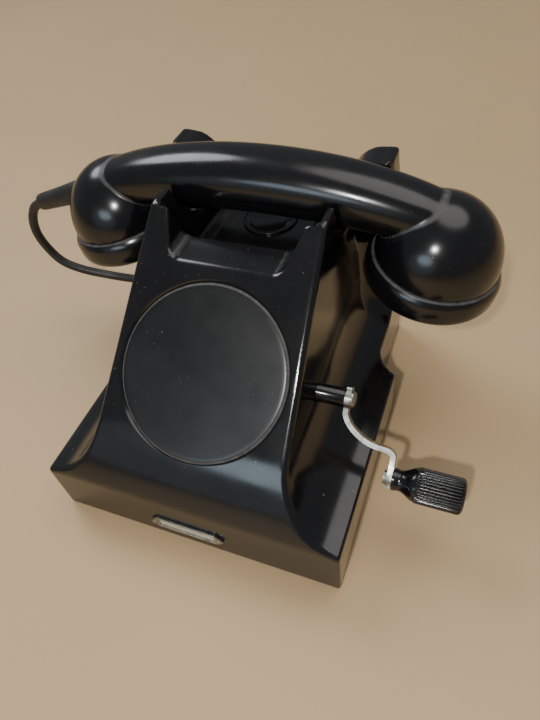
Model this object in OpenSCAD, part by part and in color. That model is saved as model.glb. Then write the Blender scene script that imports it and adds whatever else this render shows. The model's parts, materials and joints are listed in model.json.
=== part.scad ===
// Desk telephone with a hand-cranked ringing generator: moulded housing, cradle, handset and works.
// Origin: centre of the footprint, on the surface it stands on. X to the right, Y to the back, Z up.

/* [Housing] */
// Width of the plinth
body_w = 150; // [140:1:160]
// Depth of the plinth
body_d = 173.2; // [168:0.2:180]
// Height of the cradle horns and prongs
body_h = 126; // [124:0.5:130]
// Thickness of the moulded walls
wall = 3; // [2.5:0.1:3.5]
// Angle of the front panel above horizontal
panel_tilt = 39.3; // [38:0.1:41]
// Radius of the rolled lower front
roll_r = 83.7; // [80:0.1:88]
// Radius of the hollow flare on each side
flare_r = 32.9; // [31:0.1:34]
// Half width of the plinth behind its side coves
rear_half_w = 64.5; // [62:0.5:66]

/* [Cradle] */
// Height of the handset's bed above the plungers
saddle_z = 106.6; // [106:0.1:107]
// Distance of the handset's axis behind the centre
saddle_y = 45; // [44.5:0.5:46]
// Height of the grip bar in the top recess
grip_z = 110.3; // [108:0.1:112]
// Height of the floor of the well behind the grip bar
well_z = 96.8; // [94:0.1:100]

/* [Front blank] */
// Radius of the blanking disc in the dial opening
blank_r = 40; // [38:0.1:41]
// Height of the disc's centre
blank_z = 80.5; // [78:0.5:82]

/* [Crank] */
// Height of the crank shaft
crank_z = 59; // [57:0.5:60]
// Distance of the crank shaft in front of the centre
crank_front = 22.5; // [20:0.5:24]
// Throw of the crank
crank_throw = 31; // [28:0.5:34]
// Angle of the arm in front of straight down at rest
crank_rest = 45; // [0:5:90]
// Teeth on the crank's gear
gear_teeth = 48; // [48:12:60]
// Teeth on the armature's pinion
pinion_teeth = 12; // [12:1:12]

/* [Handset] */
// Distance from the middle to each cup's axis
cup_x = 85; // [84.5:0.5:88]
// Height of the joint between cup and cap
cup_z = 92; // [91:0.5:93]
// Outward lean of each cap
cup_lean = 11; // [8:1:13]
// Radius of the caps
cap_r = 32.5; // [31:0.5:33]
// Height of the caps
cap_h = 15.5; // [14:0.5:17]
// Radius of the domes above them
dome_r = 29.5; // [28:0.5:30]

/* [Cord] */
// Diameter of the handset cord
cord_d = 5.5; // [5:0.1:6]
// Middle radius of the stored coil
coil_r = 30; // [29:0.5:31]

/* [Hidden] */
$fn = 72;
eps = 0.01;

bakelite = [0.03, 0.03, 0.035];
bakelite_worn = [0.07, 0.07, 0.08];
nickel = [0.75, 0.74, 0.7];
steel = [0.5, 0.5, 0.52];
brass = [0.7, 0.55, 0.25];
magnet_red = [0.45, 0.12, 0.1];
copper = [0.65, 0.32, 0.16];
rubber = [0.05, 0.05, 0.05];
card = [0.86, 0.82, 0.66];
felt = [0.16, 0.2, 0.15];

// Front and back planes and the line that the front panel follows
front_y = -body_d / 2;
back_y = body_d / 2;
back_lean = 0.05;
panel_y0 = -22.3;
panel_z0 = 96.8;
panel_dir = [cos(panel_tilt), sin(panel_tilt)];
panel_out = [-sin(panel_tilt), cos(panel_tilt)];
// The point where the flat panel turns into the rolled front
roll_start = [-63.7, 62.9];
roll_centre = roll_start - roll_r * panel_out;
// The side flare and the straight taper above it
side_lean = 3.9;
flare_centre = [79.6, 65.4];
// The cove that narrows the plinth on each side
cove_r = 13.9;
cove_centre = [rear_half_w + cove_r, 32.4];
// The rear yoke that carries the two prongs
yoke_top_half = 58;
yoke_front = 58;
yoke_fillet = 12;
yoke_fillet_x = 57.5;
prong_in = 35.5;
prong_round = 11.5;
flare_foot_z = 37;
// The top recess
recess_top_half = 34;
recess_floor_half = 27;
well_half = 26;
grip_back = 13.1;
well_back = 70;
saddle_half = 18.8;
saddle_corner = 14;
saddle_drop = 6.2;
rear_sill = 108.2;
// Room for each cup as the handset is lifted
pocket_x = 84;
pocket_z = 78;
pocket_r = cap_r + 1;
// The ring behind the panel that the blanking disc seats against
seat_depth = 5.5;
base_z0 = 1.2;
base_z1 = 3.2;

crank_y = -crank_front;
crank_dir = [0, -sin(crank_rest), -cos(crank_rest)];
gear_module = 0.8;
gear_centres = gear_module * (gear_teeth + pinion_teeth) / 2;
gear_line = 50;
arm_y = crank_y + gear_centres * cos(gear_line);
arm_z = crank_z - gear_centres * sin(gear_line);
shaft_r = 3;
knob_y = crank_y + crank_throw * crank_dir[1];
knob_z = crank_z + crank_throw * crank_dir[2];
pin_r = 2;
knob_x0 = 87.7;
knob_len = 31.3;
knob_r = 8.1;
knob_flutes = 34;

gland_x = 20;
gland_z = 12;
inlet_x = -36;
inlet_z = 20;
plunger_x = 37;
plunger_r = 2.5;
plunger_len = 18;
plunger_top = saddle_z - 0.25;
rocker_y = 60;
rocker_z = 88;
gong_x = 22;
gong_y = 60;
gong_z = 16;
gong_r = 18;
screw_places = [[-68, -79], [68, -79], [-58, 80], [58, 80]];

// Handset cord from the sleeve, through the air, down to the surface and into the coil
coil_centre = [-8, 142];
coil_out_r = coil_r + cord_d / 2;
sleeve_start = [-113, 45, 102];
sleeve_end = [-143, 44, 92];
cord_points = [
    sleeve_end, [-151, 44, 87], [-156, 43, 78], [-158, 43, 67], [-156, 44, 55], [-150, 45, 45],
    [-140, 48, 38], [-128, 52, 33], [-115, 57, 28], [-102, 64, 22], [-90, 73, 14], [-79, 83, 7],
    [-68, 93, 3], [-57, 103, 2.75], [-48, 115, 2.75], [-42, 129, 2.75],
    [coil_centre[0] - coil_out_r, coil_centre[1], 2.75]
];
tail_points = [
    [coil_centre[0] + coil_out_r, coil_centre[1], 8.25], [24, 132, 7.5], [22, 122, 6.5],
    [20, 112, 7.5], [20, 104, 10], [20, 96, gland_z]
];

// Smooth curve through a list of points
function spline_point(p0, p1, p2, p3, t) =
    0.5 * ((2 * p1) + (p2 - p0) * t + (2 * p0 - 5 * p1 + 4 * p2 - p3) * t * t
        + (3 * p1 - p0 - 3 * p2 + p3) * t * t * t);
function spline(points, steps) = [
    for (i = [0 : len(points) - 2], s = [0 : steps - 1])
        spline_point(points[max(i - 1, 0)], points[i], points[i + 1],
            points[min(i + 2, len(points) - 1)], s / steps),
    points[len(points) - 1]
];
function unit(v) = v / norm(v);
function tangent(path, i) = unit(path[min(i + 1, len(path) - 1)] - path[max(i - 1, 0)]);
function side_of(t, last) = unit(last - (last * t) * t);
function frames(path, i = 0, last = [0, 1, 0.02]) =
    i == len(path) ? [] : let (t = tangent(path, i), u = side_of(t, last))
        concat([[path[i], u, cross(t, u)]], frames(path, i + 1, u));

module tube(points, d, sides, steps) {
    rings = frames(spline(points, steps));
    n = len(rings);
    verts = [
        for (f = rings, k = [0 : sides - 1])
            f[0] + d / 2 * (cos(360 * k / sides) * f[1] + sin(360 * k / sides) * f[2])
    ];
    walls = [
        for (i = [0 : n - 2], k = [0 : sides - 1]) let (j = (k + 1) % sides)
            [i * sides + k, (i + 1) * sides + k, (i + 1) * sides + j, i * sides + j]
    ];
    start = [for (k = [0 : sides - 1]) k];
    end = [for (k = [sides - 1 : -1 : 0]) (n - 1) * sides + k];
    polyhedron(verts, concat(walls, [start, end]));
}

// Extrusion along Y of a shape drawn in X and Z, and along X of one drawn in Y and Z
module along_y(y0, y1) {
    translate([0, y1, 0]) rotate([90, 0, 0]) linear_extrude(y1 - y0) children();
}
module along_x(x0, x1) {
    translate([x0, 0, 0]) rotate([90, 0, 90]) linear_extrude(x1 - x0) children();
}
module rod_x(x0, x1, r) {
    translate([x0, 0, 0]) rotate([0, 90, 0]) cylinder(r = r, h = x1 - x0);
}
module both_sides() {
    children();
    mirror([1, 0, 0]) children();
}
// Frame of the front panel: Z outwards, origin at the disc's centre
module on_panel() {
    translate([0, panel_y0 + (blank_z - panel_z0) / tan(panel_tilt), blank_z])
        rotate([panel_tilt, 0, 0]) children();
}
module on_crank() {
    translate([0, crank_y, crank_z]) children();
}
// Frame of one handset cup: Z along the cup's axis, origin at its joint with the cap
module on_cup(side) {
    translate([side * cup_x, saddle_y, cup_z]) rotate([0, side * cup_lean, 0]) children();
}

// Front view of the housing, drawn in by t all round
module side_profile(t) {
    r = flare_r + t;
    w = body_w / 2 - t;
    foot_z = flare_centre[1] - sqrt(r * r - pow(flare_centre[0] - w, 2));
    neck = flare_centre - r * [cos(side_lean), sin(side_lean)];
    top_x = neck[0] - (body_h + 4 - neck[1]) * tan(side_lean);
    difference() {
        polygon([
            [-w, -1], [w, -1], [w, foot_z], neck, [top_x, body_h + 4],
            [-top_x, body_h + 4], [-neck[0], neck[1]], [-w, foot_z]
        ]);
        for (s = [0, 1]) mirror([s, 0]) intersection() {
            translate(flare_centre) circle(r = r);
            polygon([[w, foot_z], neck, neck - [20, 20], [w, foot_z] - [20, 20]]);
        }
    }
}
// Side view of the housing, drawn in by t
module front_profile(t) {
    r = roll_r - t;
    wall_y = front_y + t;
    foot = [wall_y, roll_centre[1] + sqrt(r * r - pow(wall_y - roll_centre[0], 2))];
    start = roll_centre + r * panel_out;
    top = start + panel_dir * (body_h - t - start[1]) / panel_dir[1];
    polygon([
        [wall_y, -1], foot, start, top,
        [back_y - t - back_lean * body_h, body_h - t], [back_y - t, -1]
    ]);
    intersection() {
        polygon([foot, foot + 30 * panel_out, start + 30 * panel_out, start]);
        translate(roll_centre) circle(r = r);
    }
}
// Plan of the plinth with its side coves, drawn in by t
module plan(t) {
    difference() {
        square([body_w + 10, body_d + 10], center = true);
        for (s = [-1, 1]) {
            translate([s * cove_centre[0], cove_centre[1]]) circle(r = cove_r + t);
            translate([s * (rear_half_w - t + 50), cove_centre[1] + 50]) square(100, center = true);
        }
    }
}
// Plan of the rear yoke, which runs out from the sides in a hollow fillet
module yoke_plan(t) {
    difference() {
        translate([-80, saddle_y]) square([160, 60]);
        for (s = [-1, 1]) {
            translate([s * yoke_fillet_x, saddle_y]) circle(r = yoke_fillet + t);
            translate([s * (yoke_fillet_x + 25), saddle_y - 25 + yoke_fillet + t])
                square(50, center = true);
        }
    }
}
module yoke_profile(t) {
    w = rear_half_w - t;
    polygon([
        [-w, -1], [w, -1], [w, flare_foot_z], [yoke_top_half - t, body_h + 4],
        [t - yoke_top_half, body_h + 4], [-w, flare_foot_z]
    ]);
}
module body_form(t) {
    intersection() {
        along_x(-100, 100) front_profile(t);
        union() {
            intersection() {
                along_y(-100, 100) side_profile(t);
                translate([0, 0, -2]) linear_extrude(200) plan(t);
            }
            intersection() {
                along_y(0, 100) yoke_profile(t);
                translate([0, 0, flare_foot_z]) linear_extrude(200) yoke_plan(t);
            }
        }
    }
}

// Everything cut out of the top, grown by e: recess, well, saddle and the gap between the prongs
module trough(floor_z, floor_half, e) {
    top_z = body_h + 10;
    slope = (recess_top_half - floor_half) / (body_h - grip_z);
    top_half = floor_half + slope * (top_z - floor_z);
    polygon([
        [-floor_half - e, floor_z - e], [floor_half + e, floor_z - e],
        [top_half + e, top_z], [-top_half - e, top_z]
    ]);
}
module top_cuts(e) {
    along_y(-60, grip_back + 2) trough(grip_z, recess_floor_half, e);
    along_y(grip_back - e, well_back + e) trough(well_z, well_half, e);
    both_sides() translate([plunger_x, 0, saddle_z]) rotate([0, saddle_drop, 0])
        along_x(-60, 60) bed_profile(e);
    along_y(yoke_front, 100) prong_gap(e);
    both_sides() cup_pocket(e);
}
// Flat-bottomed bed under the handset, drawn in Y and Z
module bed_profile(e) {
    flat = saddle_half - saddle_corner;
    for (s = [-1, 1]) translate([saddle_y + s * flat, saddle_corner]) circle(r = saddle_corner + e);
    translate([saddle_y - flat, -e]) square([2 * flat, saddle_corner + e]);
    translate([saddle_y - saddle_half - e, saddle_corner]) square([2 * (saddle_half + e), 30]);
}
module cup_pocket(e) {
    translate([pocket_x, saddle_y, pocket_z - 8 - e])
        cylinder(r1 = pocket_r - 9 + e, r2 = pocket_r + e, h = 8);
    translate([pocket_x, saddle_y, pocket_z - e]) cylinder(r = pocket_r + e, h = 90);
}
module prong_gap(e) {
    round_z = body_h - prong_round;
    translate([-prong_in - e, rear_sill - e]) square([2 * (prong_in + e), 40]);
    for (s = [0, 1]) mirror([s, 0]) difference() {
        translate([prong_in, round_z]) square([prong_round, 30]);
        translate([prong_in + prong_round, round_z]) circle(r = prong_round - e);
    }
}

module screw_boss(place) {
    translate([place[0], place[1], base_z1]) cylinder(r = 4.5, h = 14);
}
module housing() {
    color(bakelite) difference() {
        union() {
            difference() {
                body_form(0);
                top_cuts(0);
                difference() {
                    body_form(wall);
                    top_cuts(wall);
                }
                translate([-200, -200, -50]) cube([400, 400, 50]);
            }
            intersection() {
                body_form(0);
                union() {
                    for (place = screw_places) screw_boss(place);
                    on_panel() translate([0, 0, -seat_depth]) cylinder(r = blank_r + 5, h = 3);
                }
            }
        }
        on_panel() {
            translate([0, 0, -3]) cylinder(r = blank_r + 1.4, h = 20);
            translate([0, 0, -20]) cylinder(r = blank_r - 3, h = 40);
        }
        on_crank() rod_x(30, 60, 4.5);
        on_label() for (s = [-1, 1]) translate([s * 17.3, 0, -4]) cylinder(r = 0.85, h = 6);
        for (s = [-1, 1]) translate([s * plunger_x, saddle_y, saddle_z - 12])
            cylinder(r = plunger_r + 0.08, h = 30);
        translate([0, 50.8, well_z - 10]) cylinder(r = 12, h = 9);
        translate([gland_x, 70, gland_z]) rotate([-90, 0, 0]) cylinder(r = 6, h = 30);
        translate([inlet_x, 70, inlet_z]) rotate([-90, 0, 0]) cylinder(r = 6, h = 30);
        for (place = screw_places) translate([place[0], place[1], -1]) cylinder(r = 1.5, h = 14);
    }
}

// Outline of what closes the housing from below
module base_outline(gap) {
    intersection() {
        square([body_w - 2 * (wall + gap), body_d - 2 * (wall + gap)], center = true);
        plan(wall + gap);
    }
}
module base_plate() {
    color(steel) difference() {
        translate([0, 0, base_z0]) linear_extrude(base_z1 - base_z0) base_outline(0.3);
        for (place = screw_places) translate([place[0], place[1], -1]) cylinder(r = 1.7, h = 8);
    }
}
module base_pad() {
    color(felt) difference() {
        linear_extrude(base_z0) base_outline(0.3);
        for (place = screw_places) translate([place[0], place[1], -1]) cylinder(r = 4, h = 8);
    }
}
module case_screws() {
    color(steel) for (place = screw_places) translate([place[0], place[1], 0.2]) difference() {
        union() {
            cylinder(r = 3, h = 1);
            cylinder(r = 1.5, h = 11);
        }
        translate([-4, -0.4, -0.5]) cube([8, 0.8, 1]);
    }
}

module dial_blank() {
    color(bakelite_worn) on_panel() {
        translate([0, 0, -3]) cylinder(r1 = blank_r + 0.5, r2 = blank_r, h = 3);
        translate([0, 0, -seat_depth - 0.5]) cylinder(r = blank_r - 3.2, h = seat_depth - 2.5 + eps);
    }
}
module blank_clamp() {
    color(steel) on_panel() translate([0, 0, -seat_depth - 2]) difference() {
        cylinder(r = blank_r + 2, h = 1.5);
        translate([0, 0, -1]) cylinder(r = blank_r - 14, h = 4);
        for (a = [90 : 120 : 330]) rotate(a) translate([blank_r - 9, 0, -1]) cylinder(r = 1.6, h = 4);
    }
}
module blank_screws() {
    color(brass) on_panel() for (a = [90 : 120 : 330]) rotate(a)
        translate([blank_r - 9, 0, -seat_depth - 2]) {
        translate([0, 0, -1.6]) cylinder(r = 3, h = 1.6);
        cylinder(r = 1.5, h = 1.5);
    }
}
module well_cap() {
    color(bakelite) translate([0, 50.8, 0]) {
        translate([0, 0, well_z - 5]) cylinder(r = 11.9, h = 4);
        translate([0, 0, well_z]) difference() {
            cylinder(r = 14.3, h = 1.2);
            translate([0, 0, 0.7]) cylinder(r = 12.6, h = 2);
        }
    }
}

module label_shape(grow) {
    half_w = 15.5 + grow;
    half_h = 4.4 + grow;
    polygon([
        [-half_w - half_h, 0], [-half_w, -half_h], [half_w, -half_h],
        [half_w + half_h, 0], [half_w, half_h], [-half_w, half_h]
    ]);
}
module on_label() {
    translate([-1.3, front_y, 13.4]) rotate([90, 0, 0]) children();
}
module label_frame() {
    color(nickel) on_label() difference() {
        linear_extrude(1.4) label_shape(0);
        translate([0, 0, 0.8]) cube([30.4, 6.6, 2], center = true);
        for (s = [-1, 1]) translate([s * 17.3, 0, -1]) cylinder(r = 0.8, h = 4);
    }
}
module label_card() {
    color(card) on_label() translate([-15, -3.1, 0.05]) cube([30, 6.2, 0.4]);
}
module label_screws() {
    color(nickel) on_label() for (s = [-1, 1]) translate([s * 17.3, 0, 0]) {
        translate([0, 0, -2.5]) cylinder(r = 0.8, h = 3.9);
        translate([0, 0, 1.4]) cylinder(r = 1.5, h = 0.6);
    }
}

// Bush in the rear wall, as at the handset cord's gland and the line cord's inlet
module rear_bush(x, z, hole, length) {
    wall_y = back_y - back_lean * z;
    translate([x, wall_y, z]) rotate([-90, 0, 0]) difference() {
        union() {
            translate([0, 0, -6]) cylinder(r = 6, h = 6.5);
            translate([0, 0, 0.5]) cylinder(r1 = 7.5, r2 = 5, h = length);
            translate([0, 0, -6]) cylinder(r = 7.5, h = 2);
        }
        translate([0, 0, -10]) cylinder(r = hole, h = 40);
    }
}
module cord_gland() {
    color(rubber) rear_bush(gland_x, gland_z, cord_d / 2, 8);
}
module line_inlet() {
    color(rubber) rear_bush(inlet_x, inlet_z, 3.2, 2.5);
}

// Handle: an arched beam, rounder and wider at the middle, with blunt ends
handle_end = 110;
handle_steps = 22;
handle_sides = 28;
function handle_mid_z(x) = 123.5 - 18 * pow(abs(x) / handle_end, 2.1) - 1.5 * pow(abs(x) / handle_end, 6);
function handle_half_y(x) = 16.5 - 2.5 * pow(abs(x) / handle_end, 2) - 4 * pow(abs(x) / handle_end, 6);
function handle_half_z(x) = 14.5 - 4.5 * pow(abs(x) / handle_end, 2) - 3 * pow(abs(x) / handle_end, 6);
function round_power(v, p) = sign(v) * pow(abs(v), p);
module handle_beam() {
    xs = [for (i = [0 : handle_steps]) handle_end * sin(90 * (2 * i / handle_steps - 1))];
    verts = [
        for (x = xs, k = [0 : handle_sides - 1]) let (a = 360 * k / handle_sides) [
            x, saddle_y + handle_half_y(x) * round_power(cos(a), 0.85),
            handle_mid_z(x) + handle_half_z(x) * round_power(sin(a), 0.85)
        ]
    ];
    walls = [
        for (i = [0 : handle_steps - 1], k = [0 : handle_sides - 1]) let (j = (k + 1) % handle_sides)
            [i * handle_sides + k, (i + 1) * handle_sides + k,
                (i + 1) * handle_sides + j, i * handle_sides + j]
    ];
    start = [for (k = [0 : handle_sides - 1]) k];
    end = [for (k = [handle_sides - 1 : -1 : 0]) handle_steps * handle_sides + k];
    polyhedron(verts, concat(walls, [start, end]));
}
module cup_dome(grow) {
    r = dome_r + grow;
    rotate_extrude($fn = 64) intersection() {
        union() {
            square([r, 0.5]);
            translate([0, 0.5]) circle(r = r);
        }
        square([60, 60]);
    }
}
module handset_handle() {
    color(bakelite) difference() {
        union() {
            handle_beam();
            for (s = [-1, 1]) on_cup(s) cup_dome(0);
        }
        for (s = [-1, 1]) on_cup(s) translate([0, 0, -eps]) cup_dome(-4);
        along(sleeve_start, sleeve_end) sleeve_form(0.05);
    }
}
// Screw-on cap with a rolled rim and a pierced face, hanging below the joint
module cup_cap(rings) {
    rim_r = 5.5;
    difference() {
        rotate_extrude() difference() {
            union() {
                translate([0, rim_r - cap_h]) square([cap_r, cap_h - rim_r]);
                translate([0, -cap_h]) square([cap_r - rim_r, rim_r + 1]);
                translate([cap_r - rim_r, rim_r - cap_h]) circle(r = rim_r);
            }
            translate([-1, 3.5 - cap_h]) square([cap_r - 3, cap_h]);
            polygon([[cap_r - 2.2, 0.1], [cap_r + 1, 0.1], [cap_r + 1, -4], [cap_r, -4]]);
            translate([-50, -50]) square([50, 100]);
        }
        for (ring = rings, k = [1 : ring[1]]) rotate(360 * k / ring[1]) translate([ring[0], 0, -20])
            cylinder(r = 1.6, h = 15);
    }
}
module receiver_cap() {
    color(bakelite) on_cup(1) cup_cap([[0, 1], [7, 6]]);
}
module transmitter_cap() {
    color(bakelite) on_cup(-1) cup_cap([[0, 1], [7, 6], [14, 12]]);
}
module receiver_capsule() {
    color(steel) on_cup(1) translate([0, 0, 4 - cap_h]) {
        cylinder(r = 25, h = 12);
        cylinder(r = 17, h = 20);
    }
}
module transmitter_capsule() {
    color(brass) on_cup(-1) translate([0, 0, 4 - cap_h]) {
        cylinder(r = 25, h = 10);
        cylinder(r = 12, h = 18);
    }
}
module along(p0, p1) {
    d = p1 - p0;
    translate(p0) rotate([0, acos(d[2] / norm(d)), atan2(d[1], d[0])]) children();
}
sleeve_len = norm(sleeve_end - sleeve_start);
module sleeve_form(grow) {
    cylinder(r1 = 6.5 + grow, r2 = 4.6 + grow, h = sleeve_len);
}
module cord_sleeve() {
    color(rubber) along(sleeve_start, sleeve_end) difference() {
        sleeve_form(0);
        translate([0, 0, sleeve_len - 6]) cylinder(r = cord_d / 2, h = 10);
    }
}
module handset_cord() {
    color(rubber) tube(cord_points, cord_d, 8, 2);
}
module cord_tail() {
    color(rubber) tube(tail_points, cord_d, 8, 2);
}
module cord_coil() {
    color(rubber) translate([coil_centre[0], coil_centre[1], 0]) rotate_extrude() {
        translate([coil_r - cord_d, cord_d / 2]) square([2 * cord_d, cord_d]);
        for (x = [-1, 1], z = [1, 3])
            translate([coil_r + x * cord_d / 2, z * cord_d / 2]) circle(r = cord_d / 2);
        translate([coil_r - cord_d / 2, 0]) square([cord_d, 2 * cord_d]);
    }
}
module cord_tie() {
    color(card) translate([coil_centre[0], coil_centre[1] + coil_r, 0]) difference() {
        translate([-3, -cord_d - 1, 0]) cube([6, 2 * cord_d + 2, 2 * cord_d + 1]);
        translate([-5, -cord_d, -1]) cube([10, 2 * cord_d, 2 * cord_d + 1]);
    }
}

module plunger(side) {
    color(bakelite) translate([side * plunger_x, saddle_y, plunger_top]) {
        translate([0, 0, -plunger_len]) cylinder(r = plunger_r, h = plunger_len);
        translate([0, 0, -plunger_len]) cylinder(r = 4, h = 2);
    }
}
module plunger_left() {
    plunger(-1);
}
module plunger_right() {
    plunger(1);
}
module hook_rocker() {
    bar_z = plunger_top - plunger_len - 2.9;
    bar_y = saddle_y + 4;
    color(steel) difference() {
        union() {
            translate([-40, bar_y, bar_z]) cube([80, 4, 2]);
            for (s = [-1, 1]) translate([s * plunger_x - 3, saddle_y - 3, bar_z])
                cube([6, bar_y - saddle_y + 5, 2]);
            translate([-9, bar_y, bar_z]) cube([18, rocker_y - bar_y, 2]);
            translate([0, rocker_y, rocker_z]) rod_x(-9, 9, 3);
        }
        translate([0, rocker_y, rocker_z]) rod_x(-12, 12, 1.55);
    }
}
module hook_bracket() {
    color(steel) {
        translate([0, rocker_y, rocker_z]) rod_x(-14, 14, 1.5);
        for (s = [-1, 1]) translate([s * 11.5 - 1, rocker_y - 3, rocker_z - 4]) difference() {
            cube([2, 6, well_z - wall - rocker_z + 4]);
            translate([-1, 3, 4]) rotate([0, 90, 0]) cylinder(r = 1.5, h = 4);
        }
    }
}
module hook_contacts() {
    color(brass) for (i = [0 : 4]) translate([-5, 20, 72 + 2.4 * i]) cube([10, 26, 0.5]);
    color(card) translate([-6, 20, 71]) cube([12, 6, well_z - wall - 71]);
}

module crank_bush() {
    color(bakelite) on_crank() difference() {
        union() {
            rod_x(40, 60, 4.5);
            rod_x(38, 40, 8);
        }
        rod_x(30, 70, shaft_r + 0.05);
    }
}
module crank_shaft() {
    color(steel) on_crank() {
        rod_x(14, 64.5, shaft_r);
        rod_x(20, 21.8, 6);
    }
}
module crank_nut() {
    color(nickel) on_crank() difference() {
        rod_x(62.95, 64.5, 4.2);
        rod_x(60, 70, shaft_r);
    }
}
// Bent strip: its middle line runs out along X while it runs down the arm
arm_line = [
    [61.5, -6], [61.5, 3], [62, 8], [66, 13], [72, 16.8], [78, 18.4], [83, 18.8],
    [85.6, 20.2], [86.2, 23], [86.2, 36]
];
arm_t = 2.4;
arm_w = 8;
function line_normal(line, i) = let (t = tangent(line, i)) [-t[1], t[0]];
module crank_arm() {
    left = [for (i = [0 : len(arm_line) - 1]) arm_line[i] + arm_t / 2 * line_normal(arm_line, i)];
    right = [for (i = [len(arm_line) - 1 : -1 : 0]) arm_line[i] - arm_t / 2 * line_normal(arm_line, i)];
    color(nickel) on_crank() rotate([-crank_rest, 0, 0]) difference() {
        intersection() {
            translate([0, arm_w / 2, 0]) rotate([90, 0, 0]) mirror([0, 1]) linear_extrude(arm_w)
                polygon(concat(left, right));
            union() {
                rod_x(50, 70, 5.5);
                translate([50, -arm_w / 2, -crank_throw]) cube([50, arm_w, crank_throw]);
                translate([0, 0, -crank_throw]) rod_x(80, 95, arm_w / 2);
            }
        }
        rod_x(50, 70, shaft_r);
        translate([0, 0, -crank_throw]) rod_x(80, 95, pin_r);
    }
}
module on_knob() {
    translate([0, knob_y, knob_z]) children();
}
module knob_pin() {
    color(nickel) on_knob() {
        rod_x(83.6, knob_x0 + knob_len - 6, pin_r);
        rod_x(83.6, 85, 3.2);
        rod_x(knob_x0 + knob_len - 6, knob_x0 + knob_len - 4.5, 3.6);
    }
}
module crank_knob() {
    grip = 20;
    fluted = [
        for (k = [0 : 4 * knob_flutes - 1])
            let (a = 90 * k / knob_flutes, r = knob_r - (k % 4 < 2 ? 0 : 0.6)) r * [cos(a), sin(a)]
    ];
    color(bakelite) on_knob() translate([knob_x0, 0, 0]) rotate([0, 90, 0]) difference() {
        union() {
            translate([0, 0, knob_len - grip - 1]) linear_extrude(grip) polygon(fluted);
            translate([0, 0, knob_len - 1 - eps]) cylinder(r1 = knob_r - 0.9, r2 = knob_r - 1.8, h = 1);
            rotate_extrude() difference() {
                square([knob_r - 1, knob_len - grip - 1 + eps]);
                translate([14, 4]) circle(r = 9);
            }
        }
        translate([0, 0, -1]) cylinder(r = pin_r + 0.05, h = knob_len - 4);
        translate([0, 0, knob_len - 6.2]) cylinder(r = 3.8, h = 10);
    }
}
// Gear blank drawn tooth by tooth, its first tooth or gap on the X axis
function tooth_ring(teeth, m, width) = [
    for (k = [0 : teeth - 1], c = [0 : 3])
        let (pitch = 360 / teeth, r = m * teeth / 2,
            a = pitch * (k + [-0.34, -0.14, 0.14, 0.34][c] * width),
            rr = r + m * [-1.1, 0.85, 0.85, -1.1][c]) rr * [cos(a), sin(a)]
];
module crank_gear() {
    color(brass) on_crank() difference() {
        rotate([0, 90, 0]) rotate(90 - gear_line) translate([0, 0, 22]) linear_extrude(4)
            polygon(tooth_ring(gear_teeth, gear_module, 1));
        rod_x(10, 40, shaft_r);
    }
}
module armature_pinion() {
    color(steel) translate([0, arm_y, arm_z]) difference() {
        rotate([0, 90, 0]) rotate(270 - gear_line + 180 / pinion_teeth) translate([0, 0, 21])
            linear_extrude(6) polygon(tooth_ring(pinion_teeth, gear_module, 0.9));
        rod_x(10, 40, 2);
    }
}
module generator_frame() {
    color(steel) {
        translate([-38, -32, base_z1]) cube([56, 52, 2]);
        for (x = [-38, 16]) difference() {
            translate([x, -32, base_z1 + 1]) cube([2, 52, 66]);
            translate([0, arm_y, arm_z]) rod_x(x - 1, x + 3, 2.05);
            on_crank() rod_x(x - 1, x + 3, shaft_r + 0.05);
        }
    }
}
magnet_in = 17;
magnet_out = 24;
module generator_magnets() {
    color(magnet_red) for (x = [-31 : 14 : -3]) translate([0, arm_y, arm_z + 6]) along_x(x, x + 12)
        difference() {
            union() {
                circle(r = magnet_out);
                translate([-magnet_out, -17]) square([2 * magnet_out, 17]);
            }
            circle(r = magnet_in);
            translate([-magnet_in, -30]) square([2 * magnet_in, 30]);
        }
}
module pole_pieces() {
    color(steel) translate([0, arm_y, arm_z]) difference() {
        translate([-31, -magnet_in, -11]) cube([40, 2 * magnet_in, 22]);
        rod_x(-40, 20, 12.2);
        translate([-40, -6, -20]) cube([60, 12, 40]);
    }
}
module armature() {
    color(copper) translate([0, arm_y, arm_z]) {
        difference() {
            rod_x(-30, 8, 11.7);
            for (s = [-1, 1]) translate([-31, -4, s * 9 - 4]) cube([40, 8, 8]);
        }
        rod_x(-38, 28, 2);
    }
}

module ringer_frame() {
    color(steel) {
        translate([-28, 24, base_z1]) cube([56, 40, 1.6]);
        for (s = [-1, 1]) translate([s * gong_x, gong_y, base_z1 + 1]) cylinder(r = 3, h = gong_z - base_z1);
        translate([-20, 22.5, base_z1 + 1]) cube([40, 2, 13.5]);
        translate([0, 27, base_z1 + 1]) cylinder(r = 1.5, h = 18);
    }
}
module ringer_coils() {
    color(copper) for (s = [-1, 1]) translate([s * 12, 24.5, 13]) rotate([-90, 0, 0]) {
        cylinder(r = 6.5, h = 15);
        cylinder(r = 2.5, h = 17);
    }
}
module gong(side) {
    color(nickel) translate([side * gong_x, gong_y, gong_z]) difference() {
        rotate_extrude() difference() {
            intersection() {
                scale([1, 0.6]) circle(r = gong_r);
                square([30, 30]);
            }
            intersection() {
                scale([1, 0.6]) circle(r = gong_r - 1.6);
                square([30, 30]);
            }
        }
        translate([0, 0, 5]) cylinder(r = 2, h = 10);
    }
}
module gong_left() {
    gong(-1);
}
module gong_right() {
    gong(1);
}
module gong_screws() {
    top = gong_z + 0.6 * gong_r;
    color(brass) for (s = [-1, 1]) translate([s * gong_x, gong_y, 0]) {
        translate([0, 0, gong_z + 1]) cylinder(r = 2, h = top - gong_z - 1);
        translate([0, 0, top]) cylinder(r = 4, h = 1.8);
    }
}
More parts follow.
